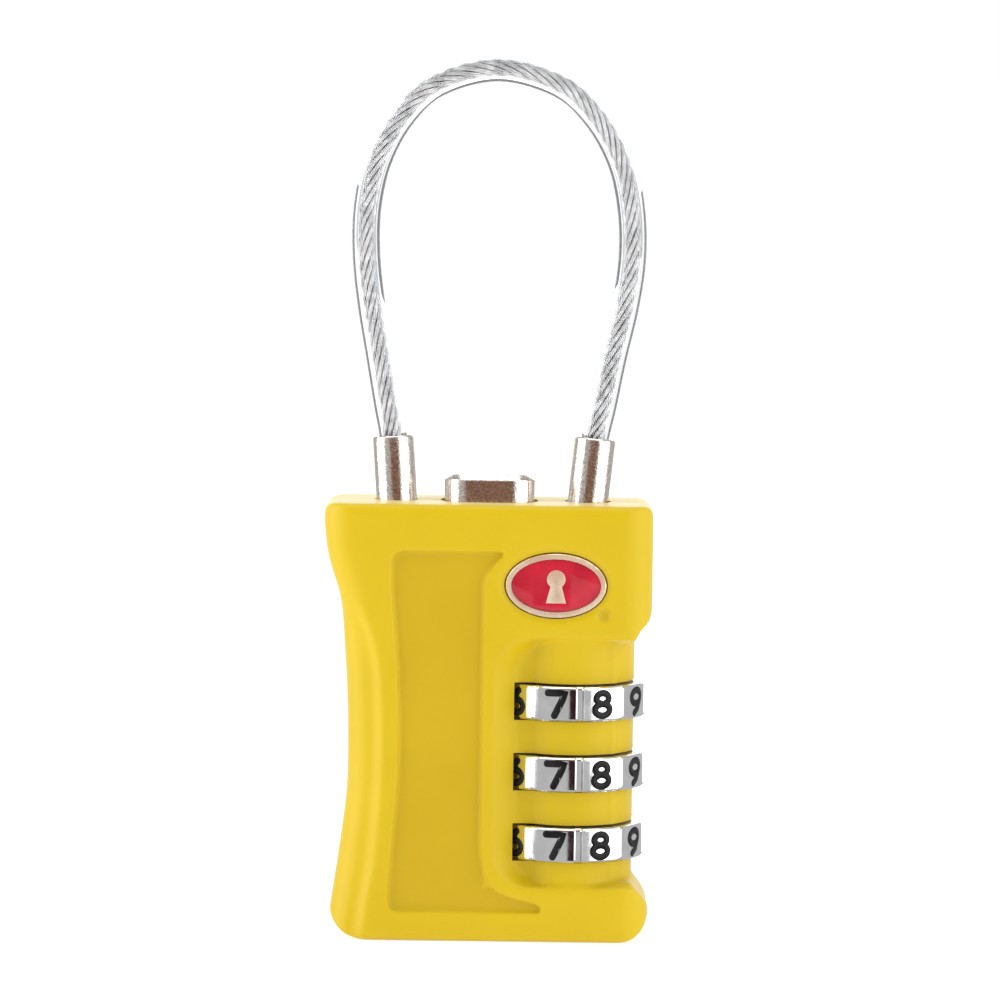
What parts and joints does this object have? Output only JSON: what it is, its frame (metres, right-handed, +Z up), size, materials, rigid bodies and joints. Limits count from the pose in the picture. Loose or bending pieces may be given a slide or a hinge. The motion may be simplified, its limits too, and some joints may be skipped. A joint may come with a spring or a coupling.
{
  "type": "cable luggage lock",
  "caption": "Combination luggage lock with turning dials, a push button, a key override and a sheathed wire-rope loop that pulls out at one end.",
  "frame": {"origin": "middle of the case's base", "axes": "+Z up from the base to the cable loop, -Y out of the face with the badge, +X towards the dials"},
  "size_m": [0.0326, 0.015, 0.088],
  "materials": {
    "yellow_case": "satin yellow moulding",
    "nickel": "nickel plated, polished",
    "dial_chrome": "chrome plated, polished",
    "digit_paint": "black paint in engraved figures",
    "enamel": "glossy red enamel",
    "brass": "machined",
    "steel": "zinc plated",
    "spring_steel": "bright spring steel",
    "wire_rope": "galvanised wire",
    "clear_sheath": "clear soft plastic"
  },
  "bodies": {
    "case": {"front_housing": "yellow_case", "rear_housing": "yellow_case", "badge_rim": "nickel", "badge_inlay": "enamel", "dial_detent_spring": "spring_steel", "spindle_bush": "brass", "button_spring": "spring_steel", "catch_leaf": "spring_steel", "catch_rivet": "steel", "key_barrel": "brass", "ferrule_fixed": "nickel", "ferrule_retainer": "spring_steel", "cable_core": "wire_rope", "cable_sheath": "clear_sheath", "housing_screw_1": "steel", "housing_screw_2": "steel", "housing_screw_3": "steel", "housing_screw_4": "steel"},
    "dial_1": {"dial_wheel_1": "dial_chrome", "dial_sleeve_1": "brass"},
    "dial_2": {"dial_wheel_2": "dial_chrome", "dial_sleeve_2": "brass"},
    "dial_3": {"dial_wheel_3": "dial_chrome", "dial_sleeve_3": "brass"},
    "button": {"push_button": "nickel", "release_plate": "steel", "spindle": "steel", "spindle_clip": "spring_steel"},
    "free_end": {"ferrule_free": "nickel"},
    "key_cylinder": {"key_plug": "brass", "key_wafer_1": "brass", "key_wafer_2": "brass", "key_wafer_3": "brass", "key_wafer_4": "brass", "key_cam": "steel"},
    "override": {"override_slide": "steel"}
  },
  "joints": [
    {"name": "dial_1_turn", "type": "hinge", "parent": "case", "child": "dial_1", "pos_m": [0.00845, 0, 0.024], "axis": [0, 0, 1], "continuous": true},
    {"name": "dial_2_turn", "type": "hinge", "parent": "case", "child": "dial_2", "pos_m": [0.00845, 0, 0.01695], "axis": [0, 0, 1], "continuous": true},
    {"name": "dial_3_turn", "type": "hinge", "parent": "case", "child": "dial_3", "pos_m": [0.00845, 0, 0.0099], "axis": [0, 0, 1], "continuous": true},
    {"name": "button_press", "type": "slide", "parent": "case", "child": "button", "axis": [0, 0, -1], "range_m": [0, 0.0015], "stiffness_N_per_m": 600, "springref_m": -0.002, "deforming": ["button_spring", "catch_leaf"]},
    {"name": "cable_pull", "type": "slide", "parent": "case", "child": "free_end", "axis": [0.1011, 0, 0.9949], "range_m": [0, 0.0105], "deforming": ["cable_core", "cable_sheath"]},
    {"name": "key_turn", "type": "hinge", "parent": "case", "child": "key_cylinder", "pos_m": [-0.0062, 0, 0.01], "axis": [0, 0, 1], "range_deg": [0, 90]},
    {"name": "override_pull", "type": "slide", "parent": "case", "child": "override", "axis": [-1, 0, 0], "range_m": [0, 0.0015]}
  ],
  "couplings": [
    {"joint": "override_pull", "follows": "key_turn", "m_per_rad": 0.00095}
  ]
}
